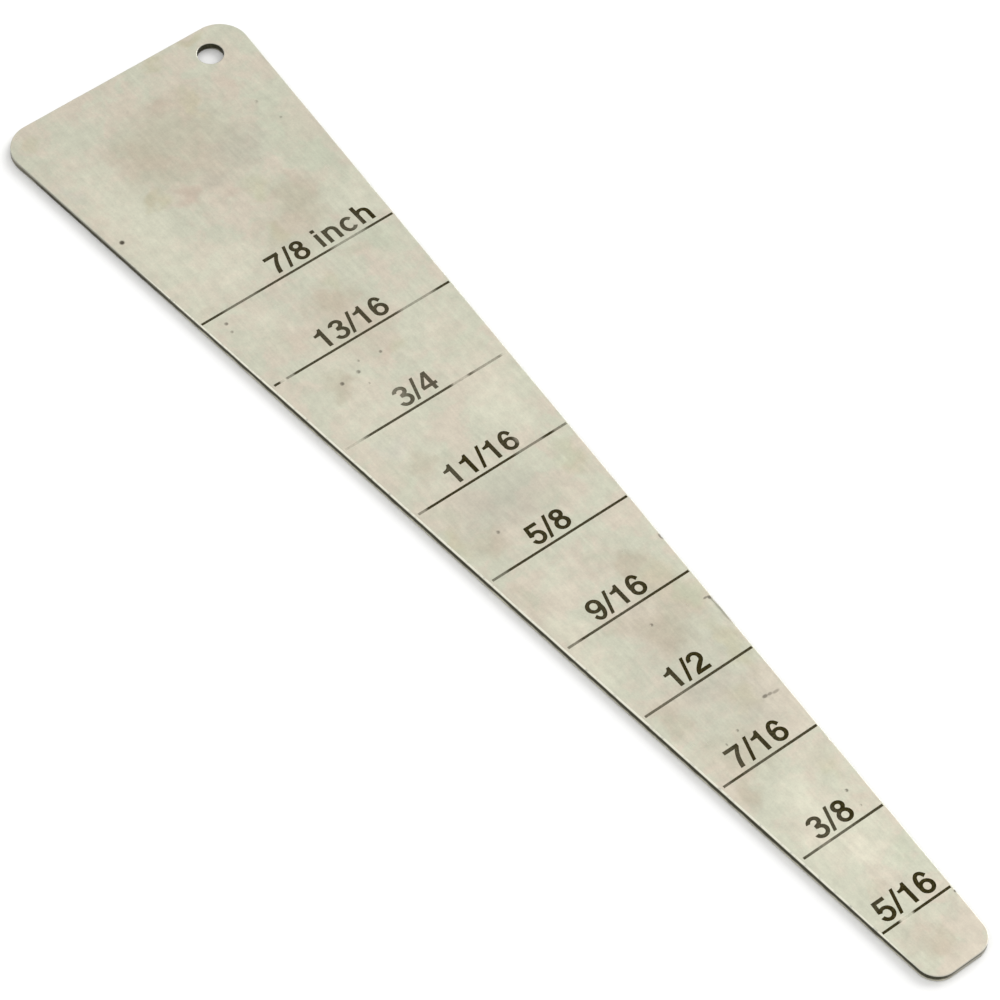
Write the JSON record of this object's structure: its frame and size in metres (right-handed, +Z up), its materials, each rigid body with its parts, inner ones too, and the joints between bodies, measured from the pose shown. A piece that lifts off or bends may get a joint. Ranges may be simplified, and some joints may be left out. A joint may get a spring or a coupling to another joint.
{
  "type": "tapered feeler gauge",
  "caption": "Flat tapered steel gauge with rounded corners, a hanging hole and cross lines marked in fractions of an inch, for sizing gaps and bores.",
  "frame": {"origin": "middle of the underside's bounding rectangle, on the surface that the gauge lies on", "axes": "+Z up through the marked face, +Y along the blade to its wide end, +X across the blade to the side of the hanging hole"},
  "size_m": [0.0266, 0.121, 0.0008],
  "materials": {
    "blade_steel": "fine satin grain along the blade, lightly stained with use; bright deburred arrises and dark cut edges",
    "black_fill": "matt black etch fill, worn thin in places"
  },
  "bodies": {
    "root": {"blade": "blade_steel", "graduation_7_8": "black_fill", "graduation_13_16": "black_fill", "graduation_3_4": "black_fill", "graduation_11_16": "black_fill", "graduation_5_8": "black_fill", "graduation_9_16": "black_fill", "graduation_1_2": "black_fill", "graduation_7_16": "black_fill", "graduation_3_8": "black_fill", "graduation_5_16": "black_fill", "label_7_8": "black_fill", "label_13_16": "black_fill", "label_3_4": "black_fill", "label_11_16": "black_fill", "label_5_8": "black_fill", "label_9_16": "black_fill", "label_1_2": "black_fill", "label_7_16": "black_fill", "label_3_8": "black_fill", "label_5_16": "black_fill"}
  },
  "joints": []
}
